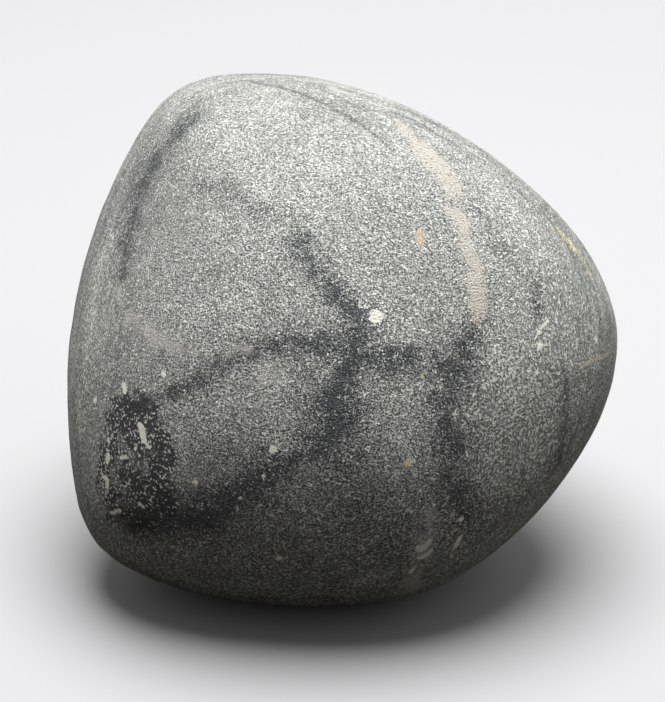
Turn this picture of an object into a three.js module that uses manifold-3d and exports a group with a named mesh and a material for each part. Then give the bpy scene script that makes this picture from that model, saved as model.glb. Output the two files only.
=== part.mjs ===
// A gastrolith: one stone, worn smooth and round-edged, standing the way it was set down.
// Millimetres, +Z up. The broad face looks towards -Y and up, and X runs across it.
// The origin is under the middle of the stone, on the surface that it stands on.

import * as THREE from "three";
import { mergeVertices } from "three/addons/utils/BufferGeometryUtils.js";
import { ImprovedNoise } from "three/addons/math/ImprovedNoise.js";
import Module from "manifold-3d";

// The stone is described lying on its back, with its outline in the XY plane and its broad face up.
// Each side of the outline is a line at a distance from the middle of the stone, square to a bearing
// in degrees: 0 is right and 90 is the top.
const OUTLINE_SIDES = [
  { name: "right upper side", bearing: 15, distance: 32.5 },
  { name: "upper right side", bearing: 42, distance: 29.2 },
  { name: "top right side", bearing: 62, distance: 27.0 },
  { name: "top", bearing: 86, distance: 30.6 },
  { name: "top corner", bearing: 115, distance: 37.3 },
  { name: "upper left corner", bearing: 138, distance: 35.7 },
  { name: "upper left side", bearing: 160, distance: 31.6 },
  { name: "left side", bearing: 183, distance: 32.2 },
  { name: "lower left corner", bearing: 223, distance: 38.5 },
  { name: "lower left side", bearing: 252, distance: 34.2 },
  { name: "bottom", bearing: 272, distance: 31.4 },
  { name: "lower right side", bearing: 299, distance: 31.5 },
  { name: "lower right corner", bearing: 321, distance: 31.0 },
  { name: "right side", bearing: 344, distance: 32.9 },
];
const FRONT_DEPTH = 23.5; // from the outline's plane to the broad face
const BACK_DEPTH = 25.5;
const BELLY = 2.1; // the power of the curve from the outline to the broad face and back: 2 is an ellipse
const ROUND_RADIUS = 32.5; // of the round form that the outline's corners fade into towards those two

// Faces worn on to that body. Each is a plane at a distance from the middle of the stone, whose normal
// points at a bearing and slopes up towards the broad face.
const WORN_FACES = [
  { name: "left bevel", bearing: 162, slope: 32, distance: 28.8 },
  { name: "sole", bearing: 270, slope: -28, distance: 28.8 },
  { name: "upper back", bearing: 75, slope: -42, distance: 28.5 },
  { name: "right back", bearing: 345, slope: -40, distance: 28.5 },
];
const EDGE_WEAR = 16; // the power of the blend between sides and between faces: higher is sharper-edged

const SWELL = { height: 0.45, length: 24 }; // broad, low swells all over the surface
const DIMPLE = { height: 0.12, length: 9 }; // shallow dimples on top of them

const LEAN = 62; // degrees that the stone is tipped up from lying on its back
const SOLE_DEPTH = 27.4; // from the middle of the stone down to the flat that it stands on
const SPHERE_DETAIL = 16; // splits on each edge of the icosahedron that becomes the stone

const noise = new ImprovedNoise();

// The outward normal of a side or a face, as long as one over its distance.
function inwardPull({ bearing, slope = 0, distance }) {
  const b = THREE.MathUtils.degToRad(bearing);
  const s = THREE.MathUtils.degToRad(slope);
  const normal = new THREE.Vector3(Math.cos(s) * Math.cos(b), Math.cos(s) * Math.sin(b), Math.sin(s));
  return normal.divideScalar(distance);
}

const SIDE_PULLS = OUTLINE_SIDES.map(inwardPull);
const FACE_PULLS = WORN_FACES.map(inwardPull);

// One over the distance from the middle to the nearest of some planes in a direction, with the edges
// between the planes rounded.
function blendedPull(pulls, direction) {
  let sum = 0;
  for (const pull of pulls) {
    sum += Math.max(0, pull.dot(direction)) ** EDGE_WEAR;
  }
  return sum ** (1 / EDGE_WEAR);
}

// How far the worn surface lies from the middle of the stone in a direction: a body that swells from
// the outline to the broad face and the back, cut by the worn faces.
function wornRadius(direction) {
  const across = Math.hypot(direction.x, direction.y);
  const toOutline = across / Math.max(blendedPull(SIDE_PULLS, direction), Number.MIN_VALUE);
  const side = across / THREE.MathUtils.lerp(toOutline, ROUND_RADIUS, Math.abs(direction.z));
  const depth = Math.abs(direction.z) / (direction.z > 0 ? FRONT_DEPTH : BACK_DEPTH);
  const body = (side ** BELLY + depth ** BELLY) ** (1 / BELLY);
  const face = blendedPull(FACE_PULLS, direction);
  return (body ** EDGE_WEAR + face ** EDGE_WEAR) ** (-1 / EDGE_WEAR);
}

// The height of smooth waves of the given height and length at a point.
function waves(point, { height, length }) {
  return height * noise.noise(point.x / length, point.y / length, point.z / length);
}

// The whole worn surface, as a ball whose points are moved in or out to it.
function wornGeometry() {
  const geometry = new THREE.IcosahedronGeometry(1, SPHERE_DETAIL);
  const position = geometry.getAttribute("position");
  const direction = new THREE.Vector3();
  const point = new THREE.Vector3();
  for (let i = 0; i < position.count; i++) {
    direction.fromBufferAttribute(position, i).normalize();
    point.copy(direction).multiplyScalar(wornRadius(direction));
    point.addScaledVector(direction, waves(point, SWELL) + waves(point, DIMPLE));
    position.setXYZ(i, point.x, point.y, point.z);
  }
  return geometry;
}

const wasm = await Module();
wasm.setup();

// A closed geometry as a solid for cutting.
function toSolid(geometry) {
  const bare = new THREE.BufferGeometry().setAttribute("position", geometry.getAttribute("position"));
  const merged = mergeVertices(geometry.index ? bare.setIndex(geometry.index) : bare);
  const vertProperties = new Float32Array(merged.getAttribute("position").array);
  const triVerts = new Uint32Array(merged.index.array);
  return new wasm.Manifold(new wasm.Mesh({ numProp: 3, vertProperties, triVerts }));
}

function toGeometry(solid) {
  const { vertProperties, triVerts } = solid.getMesh();
  return new THREE.BufferGeometry()
    .setAttribute("position", new THREE.BufferAttribute(vertProperties, 3))
    .setIndex(new THREE.BufferAttribute(triVerts, 1));
}

// Tips the stone up, cuts the flat that it stands on, and sets that flat's height to zero
// and the middle of the stone over the origin.
function standingGeometry() {
  const stone = wornGeometry().rotateX(THREE.MathUtils.degToRad(LEAN));
  const block = 4 * SOLE_DEPTH;
  const below = new THREE.BoxGeometry(block, block, block).translate(0, 0, -SOLE_DEPTH - block / 2);
  const standing = toGeometry(toSolid(stone).subtract(toSolid(below)));
  standing.computeBoundingBox();
  const middle = standing.boundingBox.getCenter(new THREE.Vector3());
  standing.translate(-middle.x, -middle.y, -standing.boundingBox.min.z);
  standing.computeVertexNormals();
  return standing;
}

const stone = new THREE.Mesh(
  standingGeometry(),
  new THREE.MeshStandardMaterial({ color: 0x6f716d, roughness: 0.55, metalness: 0 }),
);
stone.name = "stone";

const gastrolith = new THREE.Group();
gastrolith.add(stone);

export default gastrolith;
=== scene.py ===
"""The looks of a gastrolith: one worn grey stone with dark, cream and pinkish veins.

Metres, +Z up. The stone keeps the place and form of the CAD node "stone". Its markings are strokes
through pixels of the photograph, cast from the camera on to the stone, so that each one is a place on
the stone itself. The veins, the clouds of crystals and the yellow and orange spots run through the stone
and come out again on its back.
"""

import math

import bpy
import numpy as np
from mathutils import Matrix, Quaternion, Vector, noise
from mathutils.bvhtree import BVHTree


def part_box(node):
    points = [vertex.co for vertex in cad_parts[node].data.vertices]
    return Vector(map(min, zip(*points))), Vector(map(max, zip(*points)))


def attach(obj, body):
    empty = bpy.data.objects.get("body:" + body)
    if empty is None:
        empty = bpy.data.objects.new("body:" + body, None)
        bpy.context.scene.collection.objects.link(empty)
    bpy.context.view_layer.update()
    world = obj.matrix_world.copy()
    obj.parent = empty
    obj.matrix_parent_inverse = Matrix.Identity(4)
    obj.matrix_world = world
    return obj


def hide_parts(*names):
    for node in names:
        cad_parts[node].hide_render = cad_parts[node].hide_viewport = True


MM = 0.001

# The camera
IMAGE_WIDTH, IMAGE_HEIGHT = 665, 702
CAMERA_ELEVATION = math.radians(28)
CAMERA_DISTANCE = 330 * MM
PIXELS_PER_MM = 8.58
AIM_FROM_MIDDLE = Vector((-1.06, -1.27, -2.40)) * MM
SENSOR = 36.0

# The stone's mesh
CELLS_PER_SIDE = 126
SMOOTHING_ROUNDS = 40
SMOOTHING_STEPS = (0.63, -0.67)
SWELL_SIZE, SWELL_HEIGHT = 3.5 * MM, 0.05 * MM
PEEL_SIZE, PEEL_HEIGHT = 1.1 * MM, 0.02 * MM
CRACK_DEPTH = 0.06 * MM
SOLE_CLEARANCE = 1.0 * MM

# The grain
CRYSTAL_SIZE = 0.11 * MM
FINE_SIZE = 0.21 * MM
SALT_SIZE = 0.36 * MM
CLOT_SIZE = 1.1 * MM
PATCH_SIZE = 2.2 * MM
MOTTLE_SIZE = 9 * MM
LAYER_LENGTH, LAYER_THINNESS = 14 * MM, 13.0
BUMP_HEIGHT = 0.3 * MM
# Painted shade: the grain is darker and of higher contrast on faces that look sideways and down, as if in
# shade
# from the light above: the upward part of the normal where that starts, and how far below it the change ends
SHADE_START, SHADE_SPAN = 0.65, 0.7
# Layers lie along the broad face and show on the faces that cut across them: how strongly, and how fast
# that falls off towards the broad face
LAYER_SHOW, LAYER_FALL = 1.25, 1.5

# Colours. A stain multiplies the ground mass, and the others cover it
SOFT_GRAIN_GREYS = (0.05, 0.57)
# Painted shade: the darker, higher-contrast grain greys for faces turned sideways and down
SHADED_GRAIN_GREYS = (0.01, 0.6)
# The vein stain also darkens the wide dark strokes that paint shade
VEIN_AND_SHADE_STAIN = (0.1, 0.12, 0.14, 1)
PATCH_STAIN = (0.06, 0.066, 0.08, 1)
SALT_COLOUR = (0.68, 0.68, 0.62, 1)
PINK_COLOUR = (0.47, 0.44, 0.405, 1)
CREAM_COLOURS = ((0.34, 0.32, 0.28, 1), (0.5, 0.475, 0.415, 1))
YELLOW_COLOUR = (0.66, 0.59, 0.36, 1)
ORANGE_COLOUR = (0.5, 0.33, 0.17, 1)
WHITE_COLOUR = (0.78, 0.77, 0.67, 1)
CRACK_COLOUR = (0.02, 0.022, 0.025, 1)

# The floor and the light. The camera sees a pale floor and surroundings, and the stone gets less light
# from the floor and from the front than those would give
FLOOR_HALF_SIZE = 3.0
FLOOR_SEEN = (0.26, 0.26, 0.264, 1)
FLOOR_FOR_LIGHT = (0.022, 0.0195, 0.015, 1)
FLOOR_ROUGHNESS = 0.8
SURROUNDINGS_SEEN = (0.8, 0.8, 0.81, 1)
FRONT_FILL, BACK_FILL = 0.015, 0.86
FILL_SHIFT, FILL_FROM, FILL_TO = 0.3, -0.5, 0.7
LIGHT_PLACE = Vector((0.02, 0.07, 0.6))
LIGHT_TARGET = Vector((0.02, 0.07, 0))
LIGHT_SIZE, LIGHT_WATTS = 0.46, 10.8

# Markings: each stroke has a strength and a row of points, and each point is a pixel across, a pixel
# down and the stroke's half width there in pixels
# Dark veins, and a few wide strokes of painted shade
DARK_VEINS_AND_SHADE = [
    (0.35, [(203, 186, 9), (227, 190, 10), (258, 205, 10), (290, 223, 9)]),
    (0.60, [(298, 245, 14), (306, 256, 12)]),
    (0.80, [(312, 266, 8), (328, 286, 10), (345, 304, 10), (357, 322, 13), (361, 336, 14), (357, 352, 12)]),
    (0.70, [(127, 407, 5), (160, 397, 6), (193, 383, 8), (217, 367, 8), (240, 354, 8), (267, 347, 8)]),
    (0.75, [(267, 347, 8), (300, 344, 9), (327, 345, 12), (350, 349, 15)]),
    (0.68, [(350, 349, 15), (380, 359, 16), (407, 366, 13)]),
    (0.90, [(357, 353, 12), (347, 380, 12), (340, 400, 16), (337, 418, 21), (327, 438, 18), (312, 455, 10)]),
    (0.90, [(325, 457, 7), (302, 458, 7), (286, 465, 10), (268, 475, 15), (254, 486, 17), (236, 497, 14)]),
    (0.90, [(236, 497, 14), (216, 508, 15), (203, 514, 16), (180, 515, 15), (163, 518, 16), (133, 524, 14)]),
    (0.60, [(477, 328, 9), (472, 345, 14), (463, 358, 18)]),
    (0.82, [(463, 358, 17), (455, 372, 19), (449, 392, 14), (445, 412, 14), (452, 432, 17)]),
    (0.60, [(452, 432, 17), (455, 453, 16), (449, 474, 15), (460, 497, 16), (466, 520, 17)]),
    (0.50, [(262, 452, 9), (264, 460, 9)]),
    # Painted shade: these four wide, soft strokes darken broad places of the lower front, the middle and the
    # upper right, where less light falls; they are not veins, and like the veins they come out again on the
    # back
    (0.35, [(205, 455, 20), (222, 450, 17)]),
    (0.40, [(355, 455, 28), (335, 480, 32), (365, 500, 32)]),
    (0.25, [(310, 375, 25), (300, 410, 23)]),
    (0.16, [(400, 205, 34), (430, 250, 34)]),
    (0.27, [(467, 203, 5), (490, 230, 6), (507, 250, 7), (523, 272, 7)]),
    (0.52, [(533, 286, 8), (537, 299, 10), (541, 312, 8)]),
    (0.62, [(193, 117, 13), (173, 140, 17), (146, 178, 20), (134, 212, 18), (128, 247, 15), (122, 270, 10)]),
    (0.45, [(567, 385, 7), (567, 420, 8), (561, 452, 8), (557, 470, 6)]),
]
DARK_PATCH = [
    (0.90, [(134, 402, 8), (121, 414, 12), (112, 430, 12), (108, 455, 11), (107, 480, 12), (116, 506, 15)]),
    (1.00, [(134, 402, 8), (149, 420, 14), (159, 445, 14), (161, 470, 13), (156, 492, 17), (140, 518, 17)]),
    (0.85, [(128, 418, 15), (136, 440, 16)]),
    (0.60, [(130, 460, 22), (132, 490, 22)]),
]
CREAM_VEIN = [
    (0.90, [(400, 122, 5), (411, 137, 7), (427, 155, 12), (440, 168, 11), (450, 183, 11.5), (459, 196, 8)]),
    (1.10, [(450, 208, 5), (460, 219, 9), (463, 232, 7), (468, 248, 7), (473, 263, 8)]),
    (1.10, [(473, 263, 8), (477, 280, 8.5), (478, 299, 9), (478, 314, 7)]),
    (0.85, [(119, 288, 3.5), (124, 302, 5)]),
    (0.60, [(107, 257, 4), (109, 266, 3)]),
]
PINK_VEINS = [
    (0.75, [(128, 318, 6), (143, 328, 6), (157, 341, 5), (173, 347, 5), (193, 353, 4)]),
    (0.65, [(228, 353, 4), (244, 347, 5)]),
    (0.30, [(266, 375, 12), (281, 377, 12)]),
    (0.60, [(333, 88, 5), (352, 95, 5)]),
    (0.45, [(431, 512, 4), (430, 532, 5)]),
    (0.60, [(428, 540, 8), (422, 552, 10)]),
    (0.60, [(417, 572, 9), (412, 590, 9)]),
]
# Clouds of small white crystals
FROST = [
    (0.80, [(485, 390, 5), (494, 384, 6), (501, 392, 6), (500, 408, 6), (490, 416, 5)]),
    (0.70, [(450, 414, 6), (464, 412, 6)]),
    (0.70, [(406, 392, 6), (420, 388, 6), (436, 393, 6)]),
    (0.80, [(547, 322, 4), (537, 337, 4)]),
    (0.75, [(524, 356, 6), (502, 365, 8)]),
    (0.75, [(490, 345, 20), (525, 390, 26), (505, 425, 18)]),
    (0.55, [(515, 225, 36), (550, 290, 36), (555, 350, 36), (540, 410, 36), (515, 470, 30)]),
    (0.60, [(590, 330, 14), (585, 380, 12)]),
    (0.80, [(356, 581, 6), (382, 580, 6)]),
    (0.60, [(462, 515, 16), (455, 540, 12)]),
    (0.95, [(112, 235, 9), (98, 275, 9), (92, 320, 9), (88, 350, 9), (82, 385, 9), (80, 425, 8)]),
    (0.55, [(118, 422, 9), (107, 445, 8), (104, 470, 8), (106, 492, 8), (114, 514, 10)]),
    (0.40, [(140, 436, 9)]),
    (0.40, [(160, 480, 10), (145, 505, 9)]),
    (0.35, [(125, 550, 20), (160, 560, 20)]),
    (0.40, [(365, 300, 22), (385, 335, 16)]),
    (0.45, [(268, 470, 12), (275, 445, 10)]),
]
WHITE_SPOTS = [
    (1.00, [(375.5, 317, 6.6)]),
    (1.00, [(140, 425, 3.1), (143, 433, 3.5), (144, 440, 3.5)]),
    (0.90, [(136, 448, 2.2)]),
    (0.90, [(149, 447, 2.6)]),
    (0.90, [(109, 441, 2.6)]),
    (1.00, [(108, 456, 3.5), (107, 461, 3.1)]),
    (0.95, [(103, 476, 2.6), (108, 480, 2.6), (107, 488, 2.6)]),
    (0.80, [(121, 458, 2.2), (127, 456, 1.8)]),
    (0.80, [(138, 503, 2.2), (144, 507, 2.2)]),
    (0.80, [(120, 510, 2.6), (111, 513, 2.6)]),
    (0.90, [(124, 385, 3.5), (125, 391, 3.1)]),
    (0.90, [(95, 400, 3.5)]),
    (0.80, [(163, 374, 3.5)]),
    (0.80, [(195, 483, 3.5)]),
    (1.00, [(273, 449, 4)]),
    (0.90, [(264, 477, 2.6)]),
    (0.90, [(240, 498, 2.2)]),
    (1.00, [(279, 558, 3.5)]),
    (0.80, [(352, 457, 2.6)]),
    (0.80, [(365, 395, 2.6)]),
    (1.00, [(430, 541, 2.6), (426, 546, 3.6), (421, 549, 4.4), (417, 547, 2.4)]),
    (0.90, [(431, 550, 2.4), (425, 556, 3.4), (419, 558, 2.4)]),
    (0.80, [(414, 553, 1.8)]),
    (0.80, [(434, 545, 1.8)]),
    (0.90, [(413, 569, 2.6), (410, 573, 2)]),
    (1.00, [(461, 519, 3.1)]),
    (0.80, [(452, 515, 2.6)]),
    (0.90, [(460, 537, 2.6), (456, 546, 2.6)]),
    (1.00, [(540, 345, 3.4)]),
    (0.75, [(547, 321, 1.8), (541, 329, 1.8), (536, 338, 1.8)]),
    (0.80, [(529, 371, 3.1)]),
    (0.80, [(537, 372, 3.1)]),
    (0.90, [(596, 340, 3.5)]),
]
YELLOW_SPOTS = [
    (0.60, [(559, 231, 6), (564, 238, 6)]),
    (0.65, [(570, 242, 7), (574, 249, 7)]),
    (0.45, [(582, 260, 6), (590, 275, 6)]),
    (0.58, [(581, 366, 2.4), (590, 362, 3.4), (600, 358, 3), (610, 352, 2.4)]),
    (1.00, [(408.5, 463, 4)]),
    (0.60, [(423, 376, 3.5)]),
]
ORANGE_SPOTS = [(0.85, [(419, 233, 3), (421, 244, 3)])]
CRACKS = [
    (0.70, [(240, 80, 1.5), (273, 86, 1.8), (300, 93, 1.8), (330, 106, 2), (349, 117, 2), (365, 127, 1.8)]),
    (0.60, [(365, 127, 1.8), (382, 140, 1.6), (393, 151, 1.5)]),
    (0.60, [(315, 88, 1.5), (347, 101, 1.5), (368, 112, 1.5)]),
    (0.75, [(393, 112, 1.6), (420, 123, 1.6), (437, 134, 1.6), (458, 146, 1.5)]),
    (0.50, [(512, 186, 1.5), (545, 215, 1.5), (568, 247, 1.6), (584, 285, 1.8), (590, 321, 1.8)]),
    (0.50, [(590, 321, 1.8), (586, 353, 1.6)]),
    (0.55, [(583, 262, 1.6), (596, 295, 1.6), (600, 325, 1.6), (599, 350, 1.6)]),
    (0.55, [(604, 360, 1.6), (599, 390, 1.6), (590, 418, 1.6), (578, 444, 1.6)]),
    (0.50, [(586, 395, 1.8), (579, 422, 2), (569, 445, 2), (564, 462, 1.8)]),
    (0.50, [(561, 362, 1.8), (568, 393, 2), (566, 420, 2), (561, 452, 2), (559, 466, 1.8)]),
    (0.40, [(523, 496, 1.5), (514, 514, 1.6), (506, 527, 1.6), (492, 541, 1.6), (480, 551, 1.5)]),
]
# The way each kind of marking runs through the stone, as turns in degrees away from straight back:
# to the right, and up
DARK_DIP = (14, -10)
PALE_DIP = (-24, 12)
SPOT_DIP = (20, 18)

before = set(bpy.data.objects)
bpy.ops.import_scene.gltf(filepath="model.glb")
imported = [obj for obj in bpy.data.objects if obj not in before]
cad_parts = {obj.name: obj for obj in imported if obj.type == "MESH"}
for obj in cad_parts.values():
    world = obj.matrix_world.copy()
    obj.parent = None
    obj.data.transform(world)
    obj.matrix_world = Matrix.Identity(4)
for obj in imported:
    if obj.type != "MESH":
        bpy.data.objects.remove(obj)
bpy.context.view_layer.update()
stone_low, stone_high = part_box("stone")
middle = (stone_low + stone_high) / 2


# The camera

aim = middle + AIM_FROM_MIDDLE
view_right = Vector((1, 0, 0))
view_up = Vector((0, math.sin(CAMERA_ELEVATION), math.cos(CAMERA_ELEVATION)))
view_back = Vector((0, -math.cos(CAMERA_ELEVATION), math.sin(CAMERA_ELEVATION)))
eye = aim + view_back * CAMERA_DISTANCE
focal_pixels = PIXELS_PER_MM * CAMERA_DISTANCE / MM


def make_camera():
    data = bpy.data.cameras.new("camera")
    data.sensor_width = SENSOR
    data.lens = focal_pixels * SENSOR / max(IMAGE_WIDTH, IMAGE_HEIGHT)
    camera = bpy.data.objects.new("camera", data)
    camera.location = eye
    camera.rotation_mode = "QUATERNION"
    camera.rotation_quaternion = (-view_back).to_track_quat("-Z", "Y")
    bpy.context.scene.collection.objects.link(camera)
    bpy.context.scene.camera = camera


# The stone's mesh


def ball_of_quads(cells):
    """Directions and faces of a ball of six square grids with shared edges."""
    steps = np.tan(np.linspace(-1, 1, cells + 1) * math.pi / 4)
    index, corners, quads = {}, [], []
    for axis in range(3):
        for side in (-1, 1):
            grid = np.zeros((cells + 1, cells + 1), int)
            for i, u in enumerate(steps):
                for j, v in enumerate(steps):
                    corner = [0.0, 0.0, 0.0]
                    corner[axis] = side
                    corner[(axis + 1) % 3] = u
                    corner[(axis + 2) % 3] = v
                    key = tuple(round(x, 6) for x in corner)
                    if key not in index:
                        index[key] = len(corners)
                        corners.append(corner)
                    grid[i, j] = index[key]
            a, b, c, d = grid[:-1, :-1], grid[1:, :-1], grid[1:, 1:], grid[:-1, 1:]
            order = (a, b, c, d) if side > 0 else (a, d, c, b)
            quads.append(np.stack([o.ravel() for o in order], 1))
    directions = np.array(corners)
    return directions / np.linalg.norm(directions, axis=1)[:, None], np.concatenate(quads)


def smooth(places, quads, rounds):
    """The CAD facets melt into one surface: each place moves towards the mean of its neighbours and then
    a little further back, which keeps the stone's size."""
    pairs = np.concatenate([quads[:, [k, (k + 1) % 4]] for k in range(4)])
    pairs = np.concatenate([pairs, pairs[:, ::-1]])
    count = np.bincount(pairs[:, 0], minlength=len(places))[:, None]
    for step in SMOOTHING_STEPS * rounds:
        total = np.zeros_like(places)
        for axis in range(3):
            total[:, axis] = np.bincount(pairs[:, 0], places[pairs[:, 1], axis], len(places))
        places = places + step * (total / count - places)
    return places


def stone_surface():
    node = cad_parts["stone"].data
    tree = BVHTree.FromPolygons([v.co for v in node.vertices], [p.vertices for p in node.polygons])
    directions, quads = ball_of_quads(CELLS_PER_SIDE)
    places = np.array([tree.ray_cast(middle, Vector(d))[0] for d in directions])
    places = smooth(places, quads, SMOOTHING_ROUNDS)
    places[:, 2] = np.maximum(places[:, 2], 0)
    return places, quads


def outward(places, quads):
    """Unit normals at the points of a mesh of quads."""
    across = np.cross(places[quads[:, 2]] - places[quads[:, 0]], places[quads[:, 3]] - places[quads[:, 1]])
    total = np.zeros_like(places)
    for k in range(4):
        for axis in range(3):
            total[:, axis] += np.bincount(quads[:, k], across[:, axis], len(places))
    return total / np.linalg.norm(total, axis=1)[:, None]


make_camera()
points, faces = stone_surface()
normals = outward(points, faces)
surface = BVHTree.FromPolygons(points.tolist(), faces.tolist())


# Markings


def on_stone(pixel):
    """The point of the stone that the photograph shows at a pixel."""
    across, down = pixel[0] - IMAGE_WIDTH / 2, pixel[1] - IMAGE_HEIGHT / 2
    ray = view_right * across - view_up * down - view_back * focal_pixels
    return surface.ray_cast(eye, ray.normalized())[0]


def through_stone(point, dip):
    """The point on the far side of the stone that a marking from a point comes out at."""
    turn = Quaternion((0, 0, 1), math.radians(-dip[0])) @ Quaternion((1, 0, 0), math.radians(dip[1]))
    ray = turn @ -view_back
    return surface.ray_cast(point + ray * MM, ray)[0] or point


def stroke_ratio(curve, widths, places):
    """Each place's distance from a curve over the curve's half width at its nearest point."""
    nearest = np.linalg.norm(places - curve[0], axis=1) / widths[0]
    for start, end, wide, next_wide in zip(curve[:-1], curve[1:], widths[:-1], widths[1:]):
        along = end - start
        share = np.clip(((places - start) @ along) / (along @ along), 0, 1)
        gap = np.linalg.norm(places - start - share[:, None] * along, axis=1)
        nearest = np.minimum(nearest, gap / (wide + share * (next_wide - wide)))
    return nearest


def wander(size, reach):
    """How far smooth noise, with lumps of a size, moves each point: about a reach, in metres."""
    shifts = [Vector((31.4, 0, 0)), Vector((0, 47.2, 0)), Vector((0, 0, 58.9))]
    return reach * np.array([[noise.noise(Vector(p) / size + s) for s in shifts] for p in points])


def marking(strokes, places, dip, edge=2.0):
    """Each stroke's strength on its curve, half of that at its half width, and 0 far from it. A low edge
    power gives it a soft edge."""
    field = np.zeros(len(points))
    for strength, stroke in strokes:
        front = [on_stone(p) for p in stroke]
        widths = np.array([p[2] for p in stroke]) / PIXELS_PER_MM * MM
        curves = [front]
        if dip:
            curves.append([through_stone(p, dip) for p in front])
        for curve in curves:
            ratio = stroke_ratio(np.array(curve), widths, places)
            field = np.maximum(field, strength * 0.5 ** (ratio**edge))
    return field


def make_stone():
    flowing = points + wander(6 * MM, 0.8 * MM) + wander(1.8 * MM, 0.7 * MM) + wander(0.8 * MM, 0.6 * MM)
    lumpy = points + wander(1.8 * MM, 0.7 * MM) + wander(0.8 * MM, 0.4 * MM)
    rough = points + wander(0.9 * MM, 0.12 * MM)
    fields = {
        "dark_vein_and_shade": marking(DARK_VEINS_AND_SHADE, flowing, DARK_DIP, edge=1.4),
        "dark_patch": marking(DARK_PATCH, flowing, None, edge=1.6),
        "cream_vein": marking(CREAM_VEIN, lumpy, PALE_DIP),
        "pink_vein": marking(PINK_VEINS, lumpy, PALE_DIP),
        "white_spot": marking(WHITE_SPOTS, rough, None),
        "yellow_spot": marking(YELLOW_SPOTS, rough, SPOT_DIP),
        "orange_spot": marking(ORANGE_SPOTS, rough, SPOT_DIP),
        "frost": marking(FROST, lumpy, SPOT_DIP, edge=1.5),
        "crack": marking(CRACKS, rough, None),
        # Painted shade: 0 on faces looking up, rising to 1 on faces turned sideways and down
        "painted_underside_shade": np.clip((SHADE_START - normals[:, 2]) / SHADE_SPAN, 0, 1),
        "rim": np.clip(LAYER_SHOW - LAYER_FALL * np.abs(normals @ np.array(view_back)), 0, 1),
    }
    relief = np.array([noise.noise(Vector(p) / SWELL_SIZE) for p in points]) * SWELL_HEIGHT
    relief += np.array([noise.noise(Vector(p) / PEEL_SIZE) for p in points]) * PEEL_HEIGHT
    relief -= fields["crack"] * CRACK_DEPTH
    relief *= np.clip(points[:, 2] / SOLE_CLEARANCE, 0, 1)
    shaped = points + relief[:, None] * normals

    mesh = bpy.data.meshes.new("stone_surface")
    mesh.from_pydata(shaped.tolist(), [], faces.tolist())
    mesh.polygons.foreach_set("use_smooth", np.ones(len(faces), bool))
    for name, field in fields.items():
        data = mesh.attributes.new(name, "FLOAT", "POINT").data
        data.foreach_set("value", field.astype(np.float32))
    stone = bpy.data.objects.new("stone_surface", mesh)
    bpy.context.scene.collection.objects.link(stone)
    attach(stone, "root")
    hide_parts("stone")
    return stone


stone = make_stone()


# The stone's material


class Nodes:
    """Short ways to add and join shader nodes."""

    def __init__(self, owner):
        owner.use_nodes = True
        self.tree = owner.node_tree
        self.tree.nodes.clear()

    def add(self, kind, inputs=None, **settings):
        node = self.tree.nodes.new(kind)
        for name, value in settings.items():
            setattr(node, name, value)
        for name, value in (inputs or {}).items():
            self.set(node.inputs[name], value)
        return node

    def set(self, socket, value):
        if isinstance(value, bpy.types.NodeSocket):
            self.tree.links.new(value, socket)
        else:
            socket.default_value = value

    def math(self, operation, a, b=0.0):
        node = self.add("ShaderNodeMath", operation=operation)
        self.set(node.inputs[0], a)
        self.set(node.inputs[1], b)
        return node.outputs[0]

    def ramp(self, value, low, high, to_low=0.0, to_high=1.0):
        inputs = {"Value": value, "From Min": low, "From Max": high, "To Min": to_low, "To Max": to_high}
        return self.add("ShaderNodeMapRange", inputs, interpolation_type="SMOOTHSTEP").outputs[0]

    def mix(self, share, a, b, blend_type="MIX"):
        node = self.add("ShaderNodeMix", data_type="RGBA", blend_type=blend_type)
        self.set(node.inputs[0], share)
        self.set(node.inputs[6], a)
        self.set(node.inputs[7], b)
        return node.outputs[2]

    def attribute(self, name):
        return self.add("ShaderNodeAttribute", attribute_name=name).outputs["Fac"]

    def stone_space(self, size, thin=1.0, shift=0.0):
        """Places on the stone in lumps of a size, thinner by a factor square to the broad face."""
        position = self.add("ShaderNodeTexCoord").outputs["Object"]
        lean = math.pi / 2 - CAMERA_ELEVATION
        inputs = {
            "Vector": position,
            "Location": (shift, shift, shift),
            "Rotation": (lean, 0, 0),
            "Scale": (size, size, size / thin),
        }
        return self.add("ShaderNodeMapping", inputs, vector_type="TEXTURE").outputs[0]

    def grain(self, size, detail=1.0, roughness=0.5, thin=1.0, shift=0.0):
        """Smooth noise around 0.5 with lumps of about a size in metres."""
        inputs = {
            "Vector": self.stone_space(size, thin, shift),
            "Scale": 1.0,
            "Detail": detail,
            "Roughness": roughness,
        }
        return self.add("ShaderNodeTexNoise", inputs).outputs["Fac"]

    def crystals(self, size, thin=1.0):
        """A random value from 0 to 1 for each crystal of a size in metres."""
        inputs = {"Vector": self.stone_space(size, thin), "Scale": 1.0}
        colour = self.add("ShaderNodeTexVoronoi", inputs).outputs["Color"]
        return self.add("ShaderNodeSeparateColor", {"Color": colour}).outputs[0]


def grey(value):
    """The stone's own grey, a little green and warm."""
    return (value * 0.975, value, value * 0.935, 1)


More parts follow.
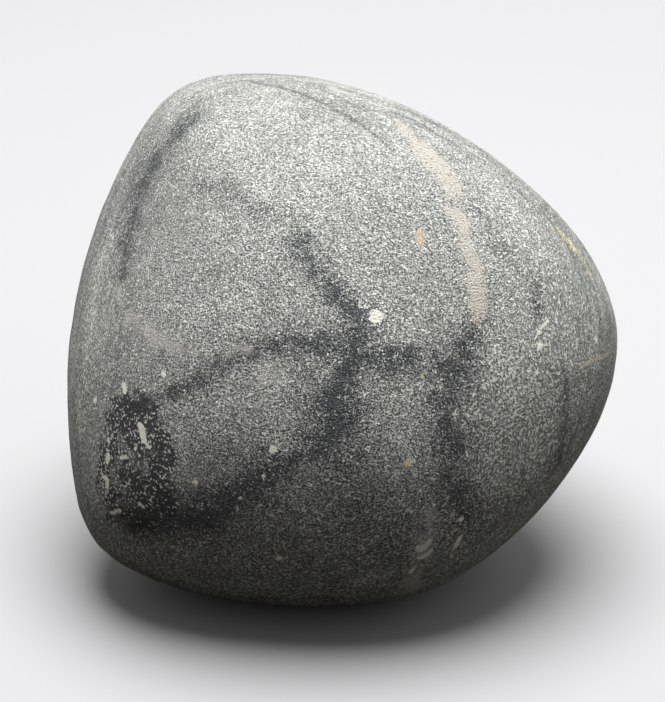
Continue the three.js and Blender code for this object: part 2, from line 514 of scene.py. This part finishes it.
def stone_material():
    material = bpy.data.materials.new("worn_stone")
    n = Nodes(material)

    crystals = n.crystals(CRYSTAL_SIZE, thin=2.0)
    fine = n.grain(FINE_SIZE, detail=2.0, roughness=0.6, thin=2.0)
    patchy = n.grain(PATCH_SIZE, detail=2.0, roughness=0.6)
    mottle = n.grain(MOTTLE_SIZE, detail=3.0)
    clots = n.grain(CLOT_SIZE, detail=3.0, roughness=0.65, shift=0.05)
    salt = n.grain(SALT_SIZE, detail=1.5, roughness=0.6, thin=1.5, shift=0.02)
    layers = n.grain(LAYER_LENGTH, detail=3.0, roughness=0.6, thin=LAYER_THINNESS)

    # The ground mass: salt-and-pepper crystals under slow changes of tone
    pepper = n.math("ADD", n.math("MULTIPLY", crystals, 0.5), n.ramp(fine, 0.25, 0.75, 0.0, 0.5))
    soft = n.mix(n.ramp(pepper, 0.2, 0.92), *map(grey, SOFT_GRAIN_GREYS))
    # Painted shade: darker grain of higher contrast on faces turned sideways and down, away from the light
    # above
    shaded_grain = n.mix(n.ramp(pepper, 0.3, 0.95), *map(grey, SHADED_GRAIN_GREYS))
    painted_underside_shade = n.attribute("painted_underside_shade")
    colour = n.mix(painted_underside_shade, soft, shaded_grain)
    tone = n.ramp(mottle, 0.3, 0.7, 0.88, 1.1)
    tone = n.math("MULTIPLY", tone, n.ramp(patchy, 0.3, 0.7, 0.92, 1.08))
    streak = n.ramp(layers, 0.42, 0.58, -0.3, 0.22)
    tone = n.math("ADD", tone, n.math("MULTIPLY", n.attribute("rim"), streak))
    tone_colour = n.add("ShaderNodeCombineColor", {"Red": tone, "Green": tone, "Blue": tone}).outputs[0]
    colour = n.mix(1.0, colour, tone_colour, "MULTIPLY")

    # How far each marking covers the stone, broken up by patches and least on the pale crystals
    break_up = n.math("MULTIPLY", n.ramp(patchy, 0.25, 0.75, 0.6, 1.4), n.ramp(pepper, 0.2, 0.9, 1.6, 0.5))

    def cover(name, low, high):
        return n.ramp(n.math("MULTIPLY", n.attribute(name), break_up), low, high)

    def ragged_cover(name, low, high, ragged):
        rough = n.ramp(fine, 0.25, 0.75, 1 - ragged, 1 + ragged)
        return n.ramp(n.math("MULTIPLY", n.attribute(name), rough), low, high)

    # Dark minerals, and the painted shade of the wide dark strokes, stain the ground mass, and white
    # crystals lie over the stain
    patch = n.math("MULTIPLY", n.attribute("dark_patch"), n.ramp(clots, 0.25, 0.7, 0.4, 1.5))
    patch = n.ramp(patch, 0.2, 0.65)
    # Veins, and the painted shade of the wide dark strokes, darken the ground mass
    vein_and_shade = cover("dark_vein_and_shade", 0.0, 0.76)
    colour = n.mix(vein_and_shade, colour, n.mix(1.0, colour, VEIN_AND_SHADE_STAIN, "MULTIPLY"))
    colour = n.mix(patch, colour, n.mix(1.0, colour, PATCH_STAIN, "MULTIPLY"))
    frost = n.math("ADD", n.math("MULTIPLY", n.attribute("frost"), 0.1), n.ramp(clots, 0.3, 0.7, 0.0, 0.06))
    # Painted shade: more pale specks on faces turned sideways and down
    frost = n.math("ADD", frost, n.math("MULTIPLY", painted_underside_shade, 0.035))
    frost = n.math("SUBTRACT", frost, n.math("MULTIPLY", vein_and_shade, 0.06))
    salt_share = n.ramp(n.math("ADD", salt, frost), 0.645, 0.7, 0.0, 0.85)
    colour = n.mix(salt_share, colour, SALT_COLOUR)

    # Pale and coloured minerals
    colour = n.mix(n.math("MULTIPLY", cover("pink_vein", 0.05, 0.8), 0.6), colour, PINK_COLOUR)
    cream = n.mix(crystals, *CREAM_COLOURS)
    colour = n.mix(ragged_cover("cream_vein", 0.3, 0.65, 0.7), colour, cream)
    colour = n.mix(ragged_cover("yellow_spot", 0.3, 0.7, 0.6), colour, YELLOW_COLOUR)
    colour = n.mix(n.math("MULTIPLY", cover("orange_spot", 0.2, 0.7), 0.7), colour, ORANGE_COLOUR)
    colour = n.mix(ragged_cover("white_spot", 0.4, 0.55, 0.3), colour, WHITE_COLOUR)
    colour = n.mix(n.math("MULTIPLY", cover("crack", 0.0, 0.7), 0.75), colour, CRACK_COLOUR)

    height = n.math("ADD", n.math("MULTIPLY", crystals, 0.4), fine)
    bump = n.add("ShaderNodeBump", {"Strength": 1.0, "Distance": BUMP_HEIGHT, "Height": height})
    shader = n.add(
        "ShaderNodeBsdfPrincipled",
        {"Base Color": colour, "Roughness": n.ramp(fine, 0.3, 0.7, 0.46, 0.6), "Normal": bump.outputs[0]},
    )
    n.add("ShaderNodeOutputMaterial", {"Surface": shader.outputs[0]})
    return material


stone.data.materials.append(stone_material())


# The floor and the light


def make_floor():
    size = FLOOR_HALF_SIZE
    corners = [(-size, -size, 0), (size, -size, 0), (size, size, 0), (-size, size, 0)]
    mesh = bpy.data.meshes.new("floor")
    mesh.from_pydata(corners, [], [(0, 1, 2, 3)])
    floor = bpy.data.objects.new("floor", mesh)
    bpy.context.scene.collection.objects.link(floor)
    material = bpy.data.materials.new("pale_floor")
    n = Nodes(material)
    seen = n.add("ShaderNodeLightPath").outputs["Is Camera Ray"]
    colour = n.mix(seen, FLOOR_FOR_LIGHT, FLOOR_SEEN)
    shader = n.add("ShaderNodeBsdfPrincipled", {"Base Color": colour, "Roughness": FLOOR_ROUGHNESS})
    n.add("ShaderNodeOutputMaterial", {"Surface": shader.outputs[0]})
    mesh.materials.append(material)


def make_light():
    data = bpy.data.lights.new("overhead", "AREA")
    data.shape = "DISK"
    data.size = LIGHT_SIZE
    data.energy = LIGHT_WATTS
    light = bpy.data.objects.new("overhead", data)
    light.location = LIGHT_PLACE
    light.rotation_mode = "QUATERNION"
    light.rotation_quaternion = (LIGHT_TARGET - LIGHT_PLACE).to_track_quat("-Z", "Y")
    bpy.context.scene.collection.objects.link(light)


def make_world():
    """Light from all around, with one strength from the front and another from the sides and back."""
    world = bpy.data.worlds.new("studio")
    n = Nodes(world)
    direction = n.add("ShaderNodeTexCoord").outputs["Generated"]
    parts = n.add("ShaderNodeSeparateXYZ", {"Vector": direction}).outputs
    aside = n.math("ABSOLUTE", n.math("ADD", parts["X"], FILL_SHIFT))
    fill = n.ramp(n.math("ADD", parts["Y"], aside), FILL_FROM, FILL_TO, FRONT_FILL, BACK_FILL)
    fill_colour = n.add("ShaderNodeCombineColor", {"Red": fill, "Green": fill, "Blue": fill}).outputs[0]
    seen = n.add("ShaderNodeLightPath").outputs["Is Camera Ray"]
    colour = n.mix(seen, fill_colour, SURROUNDINGS_SEEN)
    background = n.add("ShaderNodeBackground", {"Color": colour, "Strength": 1.0})
    n.add("ShaderNodeOutputWorld", {"Surface": background.outputs[0]})
    bpy.context.scene.world = world


make_floor()
make_light()
make_world()
bpy.context.scene.view_settings.view_transform = "Standard"
